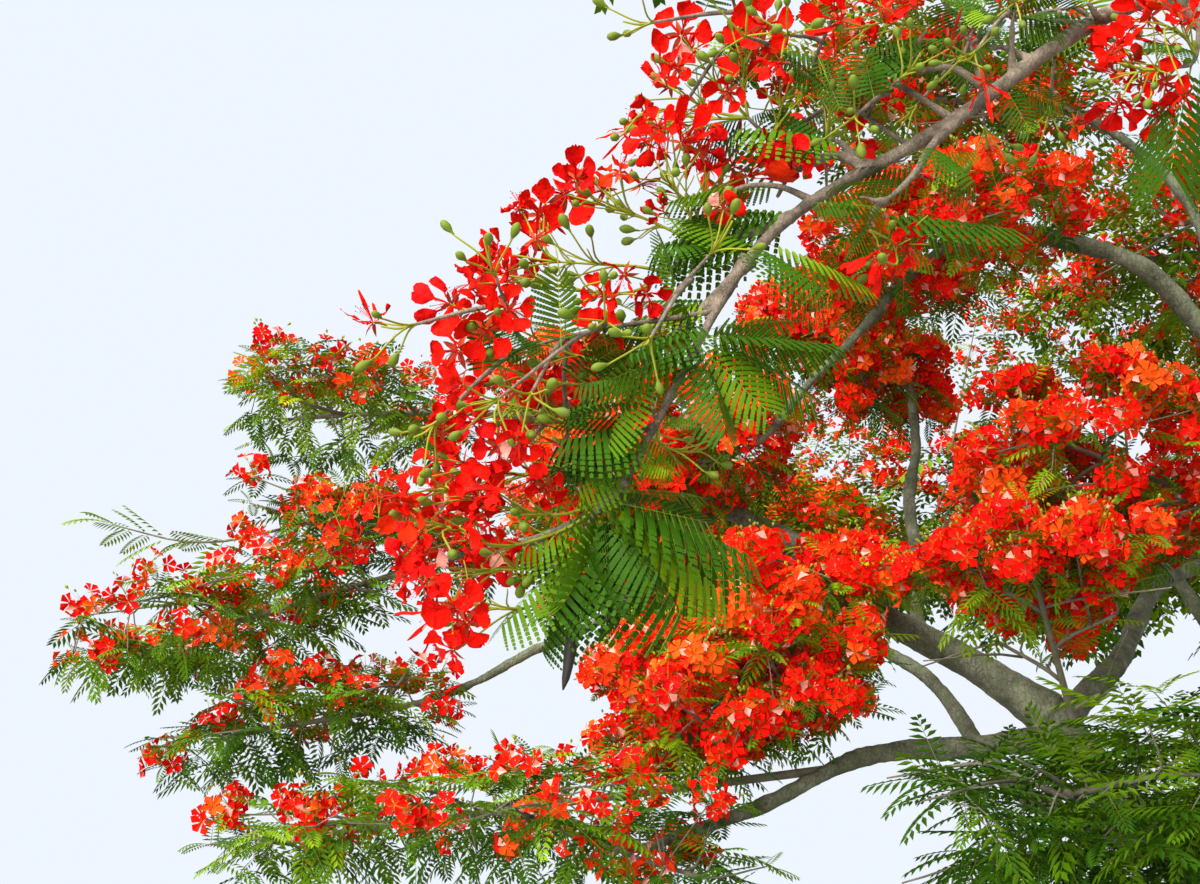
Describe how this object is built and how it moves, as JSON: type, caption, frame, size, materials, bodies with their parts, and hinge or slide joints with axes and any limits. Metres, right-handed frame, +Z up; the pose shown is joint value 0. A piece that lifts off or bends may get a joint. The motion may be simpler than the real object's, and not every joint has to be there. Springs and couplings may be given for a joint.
{
  "type": "flame tree",
  "caption": "Wide umbrella-crowned flowering tree in full bloom, short flared trunk, arching boughs and tiers of foliage with a drooping near limb.",
  "frame": {"origin": "middle of the flat cut under the trunk, at ground level", "axes": "+Z up, +Y away from the viewer of the picture, +X to the viewer's right, so the drooping near limb lies towards -Y and -X"},
  "size_m": [14.5145, 15.1183, 7.8864],
  "materials": {
    "trunk_bark": "grey-brown bark with fine cracks and ridges",
    "bark": "smooth grey-brown bark with pale pores",
    "foliage": "fine feathery green leaves with some red blossom",
    "blossom": "scarlet petals over green leaves"
  },
  "bodies": {
    "root": {"trunk": "trunk_bark", "bough_left": "bark", "bough_centre": "bark", "bough_near": "bark", "bough_right": "bark", "bough_back": "bark", "arm_left": "bark", "arm_low": "bark", "arm_inner": "bark", "arm_left_back": "bark", "tier_top": "bark", "tier_mid": "bark", "tier_low": "bark", "riser": "bark", "arch_rise": "bark", "arch_fall": "bark", "crown_left": "bark", "crown_front": "bark", "crown_right": "bark", "crown_back": "bark", "arm_near": "bark", "near_limb": "bark", "side_left": "bark", "side_front": "bark", "arm_right_front": "bark", "arm_right": "bark", "arm_right_back": "bark", "arm_back_right": "bark", "arm_back": "bark", "tier_top_mass": "foliage", "tier_upper_mass": "blossom", "tier_mid_mass": "foliage", "tier_tip_mass": "foliage", "tier_low_mass": "foliage", "tier_foot_mass": "foliage", "low_mass": "foliage", "arm_left_mass": "blossom", "arch_mass": "blossom", "riser_mass": "blossom", "arch_top_mass": "blossom", "centre_mass": "blossom", "inner_mass": "blossom", "leafy_mass": "foliage", "left_back_mass": "foliage", "back_inner_mass": "foliage", "crown_left_mass": "blossom", "crown_front_mass": "blossom", "crown_right_mass": "blossom", "crown_back_mass": "blossom", "side_left_mass": "foliage", "front_mass": "foliage", "side_front_mass": "foliage", "right_front_mass": "foliage", "right_mass": "foliage", "right_back_mass": "foliage", "back_right_mass": "foliage", "back_mass": "foliage", "near_left_mass": "blossom", "near_high_mass": "blossom", "near_inner_mass": "blossom"}
  },
  "joints": []
}
